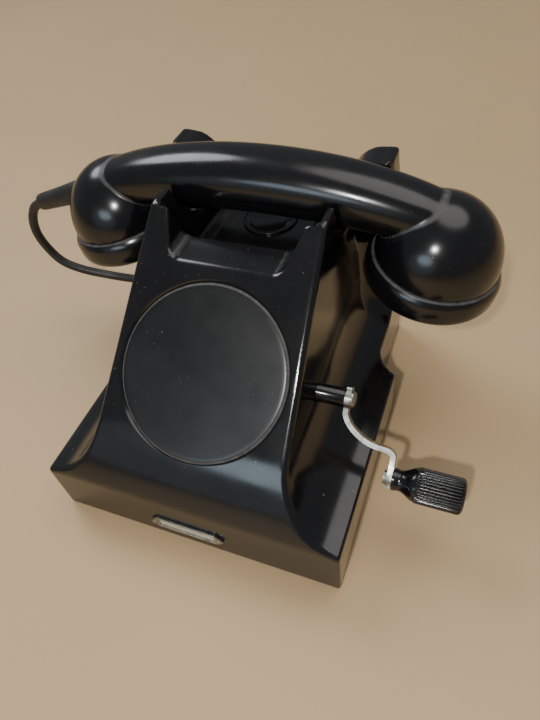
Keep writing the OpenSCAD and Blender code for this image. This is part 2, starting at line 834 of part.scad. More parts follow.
module clapper() {
    color(brass) translate([0, 27, 18]) {
        difference() {
            cylinder(r = 3, h = 3);
            translate([0, 0, -1]) cylinder(r = 1.55, h = 6);
        }
        translate([0, 2.8, 1.5]) rotate([-90, 0, 0]) cylinder(r = 0.8, h = gong_y - 27 - 3);
        translate([0, gong_y - 27, 1.5]) sphere(r = 2.5);
    }
}
module induction_coil() {
    color(copper) translate([-54, -58, 14]) rotate([-90, 0, 0]) {
        cylinder(r = 8.5, h = 38);
        cylinder(r = 3, h = 42);
    }
    color(card) for (y = [-60, -20]) translate([-64, y, base_z1]) cube([20, 2, 21]);
}
module capacitor() {
    color(nickel) translate([-66, -10, base_z1]) cube([22, 26, 18]);
}
module terminal_block() {
    color(bakelite) translate([40, -50, base_z1]) cube([22, 46, 9]);
    color(brass) for (y = [-44 : 8 : -8], x = [46, 56]) translate([x, y, base_z1 + 8.5])
        cylinder(r = 2.4, h = 2);
}

housing();
base_plate();
base_pad();
case_screws();
dial_blank();
blank_clamp();
blank_screws();
well_cap();
label_frame();
label_card();
label_screws();
cord_gland();
line_inlet();
handset_handle();
receiver_cap();
transmitter_cap();
receiver_capsule();
transmitter_capsule();
cord_sleeve();
handset_cord();
cord_coil();
cord_tail();
cord_tie();
plunger_left();
plunger_right();
hook_rocker();
hook_bracket();
hook_contacts();
crank_bush();
crank_shaft();
crank_arm();
crank_nut();
knob_pin();
crank_knob();
crank_gear();
generator_frame();
generator_magnets();
pole_pieces();
armature();
armature_pinion();
ringer_frame();
ringer_coils();
gong_left();
gong_right();
gong_screws();
clapper();
induction_coil();
capacitor();
terminal_block();
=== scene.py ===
"""Looks of the crank telephone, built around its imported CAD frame.

The shape code works in millimetres, in the CAD's own axes. Blender's metres come in at the mesh helpers.
"""
import json
import math

import bmesh
import bpy
import numpy as np
from mathutils import Matrix, Vector


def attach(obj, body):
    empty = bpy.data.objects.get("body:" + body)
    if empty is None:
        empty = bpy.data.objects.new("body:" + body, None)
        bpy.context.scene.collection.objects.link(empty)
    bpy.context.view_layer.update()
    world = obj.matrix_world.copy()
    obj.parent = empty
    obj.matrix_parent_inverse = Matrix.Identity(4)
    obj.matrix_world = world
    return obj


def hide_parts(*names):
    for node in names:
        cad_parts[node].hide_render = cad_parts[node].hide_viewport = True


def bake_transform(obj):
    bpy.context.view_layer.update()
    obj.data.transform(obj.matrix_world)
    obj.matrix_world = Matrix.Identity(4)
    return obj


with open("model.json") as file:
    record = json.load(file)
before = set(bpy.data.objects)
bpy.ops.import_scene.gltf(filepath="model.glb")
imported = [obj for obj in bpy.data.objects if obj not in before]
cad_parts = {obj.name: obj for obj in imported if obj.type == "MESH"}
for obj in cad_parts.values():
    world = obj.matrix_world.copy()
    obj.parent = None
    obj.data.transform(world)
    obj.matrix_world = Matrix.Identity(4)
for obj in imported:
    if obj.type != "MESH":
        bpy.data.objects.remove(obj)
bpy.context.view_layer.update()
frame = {"nodes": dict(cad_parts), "record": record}
MM = 0.001

# ---------------------------------------------------------------- sizes shared with the CAD, in mm
BODY_W, BODY_D, BODY_H, WALL = 150.0, 173.2, 126.0, 3.0
FRONT_Y, BACK_Y, BACK_LEAN = -BODY_D / 2, BODY_D / 2, 0.05
PANEL_TILT = math.radians(39.3)
PANEL_DIR = np.array([math.cos(PANEL_TILT), math.sin(PANEL_TILT)])
PANEL_OUT = np.array([-math.sin(PANEL_TILT), math.cos(PANEL_TILT)])
ROLL_R = 83.7
ROLL_START = np.array([-63.7, 62.9])
ROLL_CENTRE = ROLL_START - ROLL_R * PANEL_OUT
FLARE_R, FLARE_X, FLARE_Z, SIDE_LEAN = 32.9, 79.6, 65.4, math.radians(3.9)
REAR_HALF, COVE_R, COVE_Y = 64.5, 13.9, 32.4
YOKE_TOP, YOKE_FRONT, YOKE_FILLET, FOOT_Z = 58.0, 58.0, 12.0, 37.0
PRONG_IN, PRONG_ROUND = 35.5, 18.0
RECESS_TOP, RECESS_FLOOR, WELL_HALF = 34.0, 27.0, 26.0
GRIP_Z, GRIP_BACK, WELL_Z, WELL_BACK = 110.3, 13.1, 96.8, 70.0
SADDLE_Y, REAR_SILL = 45.0, 108.2
BED_Z, BED_HALF, BED_CORNER, BED_DROP = 106.6, 18.8, 14.0, math.radians(6.2)
POCKET_X, POCKET_Z, POCKET_R = 84.0, 78.0, 33.5
BLANK_R, BLANK_Z, PANEL_Y0, PANEL_Z0 = 40.0, 80.5, -22.3, 96.8
CRANK = np.array([0.0, -22.5, 59.0])
CRANK_THROW, CRANK_REST = 31.0, math.radians(45)
KNOB_X0, KNOB_LEN, KNOB_GRIP, KNOB_R, KNOB_FLUTES = 87.7, 31.3, 21, 8.1, 34
CUP_X, CUP_Z, CUP_LEAN, CAP_R, CAP_H, DOME_R = 85.0, 92.0, math.radians(11), 32.5, 15.5, 29.5
CORD_D, COIL_R, COIL_X, COIL_Y = 5.5, 30.0, -8.0, 142.0
SLEEVE_START, SLEEVE_END = (-113, 45, 102), (-143, 44, 92)
GLAND_X, GLAND_Z, INLET_X, INLET_Z = 20.0, 12.0, -36.0, 20.0
PLUNGER_X, PLUNGER_R = 37.0, 2.5
REAR_HOLE_R = 6.02
LABEL_X, LABEL_Z = -1.3, 13.4
CAP_HOLE_R = 1.6


# ---------------------------------------------------------------- camera
def make_camera():
    """The viewpoint: above the right front corner, turned to the left and rolled a little."""
    yaw, pitch, roll = math.radians(-27.64), math.radians(48.58), math.radians(-9.33)
    forward = Vector((math.sin(yaw) * math.cos(pitch), math.cos(yaw) * math.cos(pitch), -math.sin(pitch)))
    level = Vector((math.cos(yaw), -math.sin(yaw), 0))
    above = level.cross(forward)
    right = math.cos(roll) * level + math.sin(roll) * above
    up = -math.sin(roll) * level + math.cos(roll) * above
    data = bpy.data.cameras.new("view_camera")
    data.sensor_width = 36
    data.lens = 28.72
    camera = bpy.data.objects.new("view_camera", data)
    bpy.context.scene.collection.objects.link(camera)
    turn = Matrix((right, up, -forward)).transposed().to_4x4()
    camera.matrix_world = Matrix.Translation(Vector((0.1049, -0.1758, 0.2709))) @ turn
    data.clip_start = 0.01
    bpy.context.scene.camera = camera


make_camera()


# ---------------------------------------------------------------- mesh helpers
def new_piece(name, verts, faces, body, material, smooth=35, replaces=()):
    """A mesh object from points in mm, smooth up to an edge angle, riding on a body unless that is None."""
    mesh = bpy.data.meshes.new(name)
    mesh.from_pydata([tuple(float(c) * MM for c in v) for v in verts], [], [tuple(f) for f in faces])
    mesh.validate()
    work = bmesh.new()
    work.from_mesh(mesh)
    bmesh.ops.recalc_face_normals(work, faces=work.faces)
    work.to_mesh(mesh)
    work.free()
    piece = bpy.data.objects.new(name, mesh)
    bpy.context.scene.collection.objects.link(piece)
    set_smooth(mesh, smooth)
    mesh.materials.append(material)
    if body:
        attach(piece, body)
    if replaces:
        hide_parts(*replaces)
    return piece


def set_smooth(mesh, angle):
    """Smooth shading, with edges sharper than angle in degrees left hard."""
    mesh.shade_smooth()
    mesh.set_sharp_from_angle(angle=math.radians(angle))


def apply_modifiers(piece):
    """Bakes a piece's modifiers into its mesh."""
    graph = bpy.context.evaluated_depsgraph_get()
    mesh = bpy.data.meshes.new_from_object(piece.evaluated_get(graph))
    piece.modifiers.clear()
    piece.data = mesh


def soften(piece, width, segments=2, angle=35):
    """Rounds a piece's sharp edges by width in mm."""
    bevel = piece.modifiers.new("soften", "BEVEL")
    bevel.width = width * MM
    bevel.segments = segments
    bevel.limit_method = "ANGLE"
    bevel.angle_limit = math.radians(angle)
    bevel.harden_normals = True


def rounded_path(points, radius, steps=4):
    """An open 2D outline with its inner corners turned into arcs."""
    pts = [np.array(p, float) for p in points]
    out = [pts[0]]
    for a, b, c in zip(pts, pts[1:], pts[2:]):
        u, v = a - b, c - b
        lu, lv = np.linalg.norm(u), np.linalg.norm(v)
        u, v = u / lu, v / lv
        half = math.acos(max(-1, min(1, float(u @ v)))) / 2
        if half > 1.5:
            out.append(b)
            continue
        cut = min(radius / math.tan(half), 0.45 * lu, 0.45 * lv)
        p, q = b + u * cut, b + v * cut
        for i in range(steps + 1):
            t = i / steps
            out.append((1 - t) ** 2 * p + 2 * t * (1 - t) * b + t * t * q)
    out.append(pts[-1])
    return out


def lathe(profile, place, sides=96, radius_at=None):
    """Points and faces of a profile of (radius, height) turned about the local Z of place, a 4x4 matrix."""
    profile = [(max(float(r), 0.0), float(z)) for r, z in profile]
    verts, rings, faces = [], [], []
    for r, z in profile:
        if r < 1e-6:
            rings.append([len(verts)])
            verts.append(place @ Vector((0, 0, z)))
            continue
        ring = []
        for k in range(sides):
            a = 2 * math.pi * k / sides
            rr = radius_at(r, z, a) if radius_at else r
            ring.append(len(verts))
            verts.append(place @ Vector((rr * math.cos(a), rr * math.sin(a), z)))
        rings.append(ring)
    for low, high in zip(rings, rings[1:]):
        for k in range(sides):
            j = (k + 1) % sides
            if len(low) == 1 and len(high) == 1:
                break
            if len(low) == 1:
                faces.append((low[0], high[k], high[j]))
            elif len(high) == 1:
                faces.append((low[k], high[0], low[j]))
            else:
                faces.append((low[k], high[k], high[j], low[j]))
    return verts, faces


def closed_lathe(profile, place, sides=96):
    """A ring-shaped solid: the profile is a closed outline that doesn't meet the axis."""
    verts, faces = lathe(profile, place, sides)
    n = len(profile)
    for k in range(sides):
        j = (k + 1) % sides
        faces.append(((n - 1) * sides + k, k, j, (n - 1) * sides + j))
    return verts, faces


def place_at(point, axis=(0, 0, 1)):
    """Frame whose Z runs along axis."""
    turn = Vector((0, 0, 1)).rotation_difference(Vector(axis)).to_matrix().to_4x4()
    return Matrix.Translation(Vector(point)) @ turn


def cup_place(side):
    """Frame of a cup of the handset, its Z along the cup's axis. side is 1 on the right, -1 on the left."""
    middle = Matrix.Translation(Vector((side * CUP_X, SADDLE_Y, CUP_Z)))
    return middle @ Matrix.Rotation(side * CUP_LEAN, 4, "Y")


PANEL_CENTRE = (0, PANEL_Y0 + (BLANK_Z - PANEL_Z0) / math.tan(PANEL_TILT), BLANK_Z)
PANEL_PLACE = Matrix.Translation(Vector(PANEL_CENTRE)) @ Matrix.Rotation(PANEL_TILT, 4, "X")


def catmull(points, steps):
    """The same smooth curve through points as in the CAD."""
    pts = [np.array(p, float) for p in points]
    out = []
    for i in range(len(pts) - 1):
        a, b = pts[max(i - 1, 0)], pts[i]
        c, d = pts[i + 1], pts[min(i + 2, len(pts) - 1)]
        for s in range(steps):
            t = s / steps
            out.append(0.5 * (2 * b + (c - a) * t + (2 * a - 5 * b + 4 * c - d) * t * t
                              + (3 * b - a - 3 * c + d) * t ** 3))
    out.append(pts[-1])
    return out


def tube(path, radius, sides=14):
    """Round tube along a path, with its frame carried along so that it doesn't twist."""
    path = [Vector(p) for p in path]
    side = Vector((0, 1, 0.02))
    verts, faces = [], []
    for i, p in enumerate(path):
        along = (path[min(i + 1, len(path) - 1)] - path[max(i - 1, 0)]).normalized()
        side = (side - side.dot(along) * along).normalized()
        other = along.cross(side)
        for k in range(sides):
            a = 2 * math.pi * k / sides
            verts.append(p + radius * (math.cos(a) * side + math.sin(a) * other))
    for i in range(len(path) - 1):
        for k in range(sides):
            j = (k + 1) % sides
            faces.append((i * sides + k, (i + 1) * sides + k, (i + 1) * sides + j, i * sides + j))
    faces.append(tuple(range(sides)))
    faces.append(tuple(reversed(range((len(path) - 1) * sides, len(path) * sides))))
    return verts, faces


# ---------------------------------------------------------------- materials
def node_tree(name):
    """A new material with a Principled shader, and the coordinates its textures use."""
    material = bpy.data.materials.new(name)
    material.use_nodes = True
    tree = material.node_tree
    tree.nodes.clear()
    out = tree.nodes.new("ShaderNodeOutputMaterial")
    shader = tree.nodes.new("ShaderNodeBsdfPrincipled")
    tree.links.new(shader.outputs[0], out.inputs[0])
    coords = tree.nodes.new("ShaderNodeTexCoord")
    return material, tree, shader, coords.outputs["Object"]


def noise(tree, coords, scale, detail=3.0, stretch=None):
    """Cloudy noise about 0.5. stretch scales the three axes apart."""
    if stretch:
        mapping = tree.nodes.new("ShaderNodeMapping")
        mapping.inputs["Scale"].default_value = stretch
        tree.links.new(coords, mapping.inputs["Vector"])
        coords = mapping.outputs[0]
    node = tree.nodes.new("ShaderNodeTexNoise")
    node.inputs["Scale"].default_value = scale
    node.inputs["Detail"].default_value = detail
    tree.links.new(coords, node.inputs["Vector"])
    return node.outputs["Fac"]


def spots(tree, coords, scale, size):
    """1 in small round spots, 0 between them."""
    node = tree.nodes.new("ShaderNodeTexVoronoi")
    node.inputs["Scale"].default_value = scale
    tree.links.new(coords, node.inputs["Vector"])
    return remap(tree, node.outputs["Distance"], size, size * 0.5, 0, 1)


def remap(tree, value, low, high, to_low, to_high):
    """Takes low..high to to_low..to_high and clamps."""
    node = tree.nodes.new("ShaderNodeMapRange")
    for socket, number in zip(("From Min", "From Max", "To Min", "To Max"), (low, high, to_low, to_high)):
        node.inputs[socket].default_value = number
    tree.links.new(value, node.inputs["Value"])
    return node.outputs[0]


def calc(tree, operation, a, b=None, clamp=False):
    """One math node. a and b are numbers or sockets."""
    node = tree.nodes.new("ShaderNodeMath")
    node.operation = operation
    node.use_clamp = clamp
    for socket, value in zip(node.inputs, (a, b)):
        if value is None:
            continue
        if isinstance(value, (int, float)):
            socket.default_value = value
        else:
            tree.links.new(value, socket)
    return node.outputs[0]


def mix_color(tree, factor, a, b):
    """Color a where factor is 0 and b where it is 1."""
    node = tree.nodes.new("ShaderNodeMix")
    node.data_type = "RGBA"
    tree.links.new(factor, node.inputs["Factor"])
    for socket, value in ((node.inputs[6], a), (node.inputs[7], b)):
        if isinstance(value, tuple):
            socket.default_value = (*value, 1)
        else:
            tree.links.new(value, socket)
    return node.outputs[2]


def upward(tree, power=1.0):
    """1 where the surface faces up, 0 where it is upright or faces down."""
    geometry = tree.nodes.new("ShaderNodeNewGeometry")
    split = tree.nodes.new("ShaderNodeSeparateXYZ")
    tree.links.new(geometry.outputs["Normal"], split.inputs[0])
    return calc(tree, "POWER", calc(tree, "MAXIMUM", split.outputs[2], 0.0), power)


def attribute(tree, name):
    """A stored mesh attribute, 0 on a mesh that doesn't have it."""
    node = tree.nodes.new("ShaderNodeAttribute")
    node.attribute_name = name
    return node.outputs["Fac"]


def bump(tree, shader, height, strength, distance):
    """Fine relief, distance in metres."""
    node = tree.nodes.new("ShaderNodeBump")
    node.inputs["Strength"].default_value = strength
    node.inputs["Distance"].default_value = distance
    tree.links.new(height, node.inputs["Height"])
    tree.links.new(node.outputs[0], shader.inputs["Normal"])


def bakelite(name, haze=0.03, rough=0.1, speck=1.0, base=(0.005, 0.005, 0.006), dusty=0.6):
    """Old black moulded bakelite: glossy and faintly uneven, with settled dust and pale specks.

    dusty is how much dust fills the places where the cavity attribute is above 0.
    """
    material, tree, shader, coords = node_tree(name)
    up = upward(tree, 1.5)
    patches = remap(tree, noise(tree, coords, 45, 4), 0.35, 0.7, 0.35, 1.0)
    fine = noise(tree, coords, 900, 2)
    film = calc(tree, "MULTIPLY", calc(tree, "MULTIPLY", up, patches), haze)
    settled = remap(tree, noise(tree, coords, 260, 3), 0.3, 0.7, 0.4 * dusty, dusty)
    corners = calc(tree, "MULTIPLY", calc(tree, "MAXIMUM", attribute(tree, "cavity"), 0.0), settled)
    film = calc(tree, "ADD", film, corners, clamp=True)
    thin = remap(tree, noise(tree, coords, 30, 2), 0.46, 0.56, 0, 1)
    specks = calc(tree, "MULTIPLY", spots(tree, coords, 150, 0.045), thin)
    small = calc(tree, "MULTIPLY", spots(tree, coords, 420, 0.055), thin)
    specks = calc(tree, "ADD", specks, small, clamp=True)
    specks = calc(tree, "MULTIPLY", specks, calc(tree, "MULTIPLY", upward(tree, 0.7), speck), clamp=True)
    color = mix_color(tree, film, base, (0.30, 0.29, 0.28))
    color = mix_color(tree, specks, color, (0.62, 0.60, 0.56))
    tree.links.new(color, shader.inputs["Base Color"])
    roughness = remap(tree, noise(tree, coords, 70, 5), 0.3, 0.75, rough, rough + 0.07)
    roughness = calc(tree, "ADD", roughness, calc(tree, "MULTIPLY", film, 1.6))
    roughness = calc(tree, "ADD", roughness, calc(tree, "MULTIPLY", specks, 0.5), clamp=True)
    tree.links.new(roughness, shader.inputs["Roughness"])
    shader.inputs["IOR"].default_value = 1.6
    waves = calc(tree, "ADD", noise(tree, coords, 55, 1), calc(tree, "MULTIPLY", fine, 0.05))
    waves = calc(tree, "ADD", waves, calc(tree, "MULTIPLY", specks, 0.4))
    bump(tree, shader, waves, 0.12, 0.0005)
    return material


def metal(name, color, rough, tarnish=(0.25, 0.2, 0.13), tarnish_amount=0.5, grain=None):
    """Plated or brushed metal with tarnish in patches."""
    material, tree, shader, coords = node_tree(name)
    patches = remap(tree, noise(tree, coords, 160, 5), 0.5, 0.72, 0, tarnish_amount)
    tree.links.new(mix_color(tree, patches, color, tarnish), shader.inputs["Base Color"])
    shader.inputs["Metallic"].default_value = 1.0
    streaks = noise(tree, coords, 500, 4, grain) if grain else noise(tree, coords, 400, 4)
    streaked = remap(tree, streaks, 0.3, 0.7, rough, rough + 0.14)
    roughness = calc(tree, "ADD", streaked, calc(tree, "MULTIPLY", patches, 0.4))
    tree.links.new(roughness, shader.inputs["Roughness"])
    bump(tree, shader, streaks, 0.15, 0.0001)
    return material


def soft(name, color, rough, scale, strength=0.3, dust=0.0):
    """Matt stuff: rubber, felt or card, with its own grain."""
    material, tree, shader, coords = node_tree(name)
    grain = noise(tree, coords, scale, 4)
    patches = remap(tree, noise(tree, coords, 60, 4), 0.3, 0.7, 0.0, 1.0)
    pale = tuple(min(1, c * 1.35 + 0.01) for c in color)
    tinted = mix_color(tree, patches, color, pale)
    if dust:
        film = calc(tree, "MULTIPLY", upward(tree, 1.0), calc(tree, "MULTIPLY", patches, dust))
        tinted = mix_color(tree, film, tinted, (0.35, 0.33, 0.3))
    tree.links.new(tinted, shader.inputs["Base Color"])
    tree.links.new(remap(tree, grain, 0.3, 0.7, rough - 0.08, rough + 0.08), shader.inputs["Roughness"])
    bump(tree, shader, grain, strength, 0.0003)
    return material


def windings(name, color):
    """Enamelled wire wound about the X or Y axis, as fine ridges."""
    material, tree, shader, coords = node_tree(name)
    wave = tree.nodes.new("ShaderNodeTexWave")
    wave.inputs["Scale"].default_value = 900
    wave.bands_direction = "Y"
    tree.links.new(coords, wave.inputs["Vector"])
    darker = tuple(c * 0.35 for c in color)
    tree.links.new(mix_color(tree, wave.outputs["Fac"], darker, color), shader.inputs["Base Color"])
    shader.inputs["Metallic"].default_value = 0.6
    shader.inputs["Roughness"].default_value = 0.35
    bump(tree, shader, wave.outputs["Fac"], 0.5, 0.0002)
    return material


MATERIALS = {
    "bakelite": bakelite("bakelite_body"),
    "bakelite_worn": bakelite("bakelite_disc", haze=0.02, rough=0.28, speck=1.6, base=(0.005, 0.005, 0.0055)),
    "handset": bakelite("bakelite_handset", haze=0.015, rough=0.16, speck=0.8, dusty=0.4),
    "nickel": metal("nickel_plate", (0.48, 0.47, 0.43), 0.26, tarnish=(0.16, 0.14, 0.10), tarnish_amount=0.7),
    "steel": metal("bright_steel", (0.46, 0.46, 0.47), 0.3, grain=(1, 1, 6)),
    "brass": metal("old_brass", (0.56, 0.41, 0.17), 0.28),
    "magnet": soft("magnet_paint", (0.32, 0.05, 0.035), 0.45, 300, 0.1),
    "copper": windings("wire_windings", (0.6, 0.26, 0.1)),
    "rubber": soft("black_rubber", (0.012, 0.012, 0.013), 0.42, 700, 0.15, dust=0.12),
    "card": soft("aged_card", (0.52, 0.49, 0.38), 0.75, 500, 0.2),
    "felt": soft("green_felt", (0.03, 0.045, 0.03), 0.95, 900, 0.6),
}


# ---------------------------------------------------------------- cord, first of all the pieces
CORD_POINTS = [
    SLEEVE_END, (-151, 44, 87), (-156, 43, 78), (-158, 43, 67), (-156, 44, 55), (-150, 45, 45),
    (-140, 48, 38), (-128, 52, 33), (-115, 57, 28), (-102, 64, 22), (-90, 73, 14), (-79, 83, 7),
    (-68, 93, 3.2), (-57, 103, 2.85), (-48, 115, 2.85), (-42, 129, 2.85),
    (COIL_X - COIL_R - CORD_D / 2, COIL_Y, 2.85),
]
TAIL_POINTS = [
    (COIL_X + COIL_R + CORD_D / 2, COIL_Y, 8.25), (24, 132, 7.5), (22, 122, 6.5),
    (20, 112, 7.5), (20, 104, 10), (20, 96, GLAND_Z),
]
COIL_TURNS = 3.5


def ease(t):
    """Smooth step from 0 at 0 to 1 at 1."""
    t = min(max(t, 0.0), 1.0)
    return t * t * (3 - 2 * t)


def coil_path():
    """Turns laid two wide and two high, running clockwise from the left of the coil to its right."""
    gap = CORD_D / 2 + 0.06
    out = []
    steps = int(COIL_TURNS * 48)
    for i in range(1, steps):
        turn = i / 48
        angle = math.pi - 2 * math.pi * turn
        inward = ease((turn - 0.85) / 0.3) - ease((turn - 2.85) / 0.3)
        upper = ease((turn - 1.85) / 0.3)
        r = COIL_R + gap * (1 - 2 * inward)
        z = CORD_D / 2 + 0.1 + 2 * gap * upper
        out.append(np.array([COIL_X + r * math.cos(angle), COIL_Y + r * math.sin(angle), z]))
    return out


def make_cord():
    """The handset cord in one run: the loop, the stored coil and the tail into the housing."""
    path = catmull(CORD_POINTS, 4) + coil_path() + catmull(TAIL_POINTS, 4)
    verts, faces = tube(path, CORD_D / 2)
    cord = new_piece("cord_run", verts, faces, None, MATERIALS["rubber"], 60,
                     ("handset_cord", "cord_coil", "cord_tail"))
    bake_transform(cord)
    tie = make_tie()


def make_tie():
    """A twisted paper-covered band round the stored turns, at the back of the coil."""
    half_w, high, thick = CORD_D + 0.3, 2 * CORD_D + 0.5, 0.6
    inner = rounded_path([(-half_w, 0.1), (-half_w, high), (half_w, high), (half_w, 0.1)], 2.2, 4)
    wide, tall = half_w + thick, high + thick
    outer = rounded_path([(-wide, 0.02), (-wide, tall), (wide, tall), (wide, 0.02)], 2.6, 4)
    loop = inner + outer[::-1]
    verts, faces, n = [], [], len(loop)
    for x in (-2.6, 2.6):
        verts += [(COIL_X + x, COIL_Y + COIL_R + p[0], p[1]) for p in loop]
    for k in range(n):
        j = (k + 1) % n
        faces.append((k, j, n + j, n + k))
    half = n // 2
    for k in range(half - 1):
        faces.append((k, k + 1, n - 2 - k, n - 1 - k))
        faces.append((n + k, n + n - 1 - k, n + n - 2 - k, n + k + 1))
    return new_piece("cord_band", verts, faces, "root", MATERIALS["card"], 40, ("cord_tie",))


make_cord()


# ---------------------------------------------------------------- implicit shapes
def fuse(a, b, r):
    """Union with a hollow fillet of radius r."""
    return np.maximum(r, np.minimum(a, b)) - np.hypot(np.maximum(r - a, 0), np.maximum(r - b, 0))


def meet(a, b, r):
    """Intersection with its edge rounded by radius r."""
    return np.minimum(-r, np.maximum(a, b)) + np.hypot(np.maximum(r + a, 0), np.maximum(r + b, 0))


def carve(a, b, r):
    """a without b, the new edge rounded by radius r."""
    return meet(a, -b, r)


def housing_outside(x, y, z):
    """The solid envelope: a tower with flared sides and a rolled front, and the yoke behind it."""
    x = np.abs(x)
    edge = 1.0
    neck_x = FLARE_X - FLARE_R * math.cos(SIDE_LEAN)
    neck_z = FLARE_Z - FLARE_R * math.sin(SIDE_LEAN)
    taper = (x - neck_x) * math.cos(SIDE_LEAN) + (z - neck_z) * math.sin(SIDE_LEAN)
    below = np.maximum(FLARE_R - np.hypot(x - FLARE_X, z - FLARE_Z), z - FLARE_Z)
    side = meet(x - BODY_W / 2, np.minimum(taper, below), edge)
    panel = (y - ROLL_START[0]) * PANEL_OUT[0] + (z - ROLL_START[1]) * PANEL_OUT[1]
    before = -((y - ROLL_START[0]) * PANEL_DIR[0] + (z - ROLL_START[1]) * PANEL_DIR[1])
    roll = np.hypot(y - ROLL_CENTRE[0], z - ROLL_CENTRE[1]) - ROLL_R
    front = np.where(before > 0, roll, panel)
    back = (y - BACK_Y + BACK_LEAN * z) / math.hypot(1, BACK_LEAN)
    cove = COVE_R - np.hypot(x - REAR_HALF - COVE_R, y - COVE_Y)
    narrow = np.minimum(x - REAR_HALF, y - COVE_Y)
    plan = np.maximum(cove, narrow)
    tower = meet(meet(side, front, 2.2), FRONT_Y - y, edge)
    tower = meet(tower, plan, edge)
    yoke_slope = (REAR_HALF - YOKE_TOP) / (BODY_H + 4 - FOOT_Z)
    yoke = meet(x - REAR_HALF + yoke_slope * (z - FOOT_Z), YOKE_FRONT - y, 1.2)
    yoke = meet(yoke, FOOT_Z - 8 - z, 0.5)
    solid = fuse(tower, yoke, YOKE_FILLET)
    solid = np.maximum(solid, x - REAR_HALF + np.where(y > COVE_Y, 0, -30))
    solid = meet(solid, back, 1.5)
    return meet(meet(solid, z - BODY_H, 1.6), -z, 0.3)


def trough(x, y, z, floor_z, floor_half, y0, y1, r):
    """A recess from y0 to y1 whose sides lean outward from a flat floor."""
    slope = (RECESS_TOP - RECESS_FLOOR) / (BODY_H - GRIP_Z)
    wall = (np.abs(x) - floor_half - slope * (z - floor_z)) / math.hypot(1, slope)
    shape = meet(wall, floor_z - z, r)
    return meet(shape, np.maximum(y0 - y, y - y1), r)


def top_cuts(x, y, z):
    """Recess over the grip bar, well behind it, saddle, and the prongs' gap with the cup pockets."""
    recess = trough(x, y, z, GRIP_Z, RECESS_FLOOR, -80, GRIP_BACK + 12, 3.5)
    well = trough(x, y, z, WELL_Z, WELL_HALF, GRIP_BACK, WELL_BACK, 4)
    ax = np.abs(x)
    along, above = math.cos(BED_DROP), math.sin(BED_DROP)
    bed_z = (z - BED_Z) * along + (ax - PLUNGER_X) * above
    off = np.abs(y - SADDLE_Y)
    flat = BED_HALF - BED_CORNER
    lower = np.where(off > flat, np.hypot(off - flat, bed_z - BED_CORNER) - BED_CORNER, -bed_z)
    saddle = np.where(bed_z < BED_CORNER, lower, off - BED_HALF)
    pocket_wall = np.hypot(ax - POCKET_X, y - SADDLE_Y)
    pocket_slope = (pocket_wall - POCKET_R + (POCKET_Z - z) * 9 / 8) / math.hypot(1, 9 / 8)
    pocket = np.maximum(pocket_wall - POCKET_R, np.maximum(pocket_slope, POCKET_Z - 8 - z))
    corner_x, corner_z = PRONG_IN + PRONG_ROUND, BODY_H - PRONG_ROUND
    rounded = PRONG_ROUND - np.hypot(ax - corner_x, z - corner_z)
    gap = np.where((ax < corner_x) & (z > corner_z), rounded, ax - PRONG_IN)
    gap = meet(gap, REAR_SILL - z, 3)
    gap = np.maximum(gap, SADDLE_Y - y)
    return recess, well, saddle, np.minimum(gap, pocket)


def housing_field(p):
    """The hollow housing, open below."""
    x, y, z = p[..., 0], p[..., 1], p[..., 2]
    solid = housing_outside(x, y, z)
    recess, well, saddle, gap = top_cuts(x, y, z)
    cuts = np.minimum(np.minimum(recess, well), np.minimum(saddle, gap))
    shell = carve(solid, cuts, 1.1)
    inside = np.maximum(solid + WALL, WALL - cuts)
    inside = np.where(z < 1, np.minimum(inside, solid + WALL), inside)
    return np.maximum(shell, -inside)


def gradient(field, p, h=0.05):
    """Slope of the field at each point, from steps of h to either side."""
    out = np.empty_like(p)
    for axis in range(3):
        step = np.zeros(3)
        step[axis] = h
        out[:, axis] = (field(p + step) - field(p - step)) / (2 * h)
    return out


def settle(field, p, most, rounds):
    """Pulls points onto the field's zero surface, by at most `most` each round."""
    for _ in range(rounds):
        g = gradient(field, p)
        step = g * (field(p) / np.maximum((g * g).sum(1), 0.05))[:, None]
        length = np.linalg.norm(step, axis=1, keepdims=True)
        p = p - step * np.minimum(1, most / np.maximum(length, 1e-9))
    return p


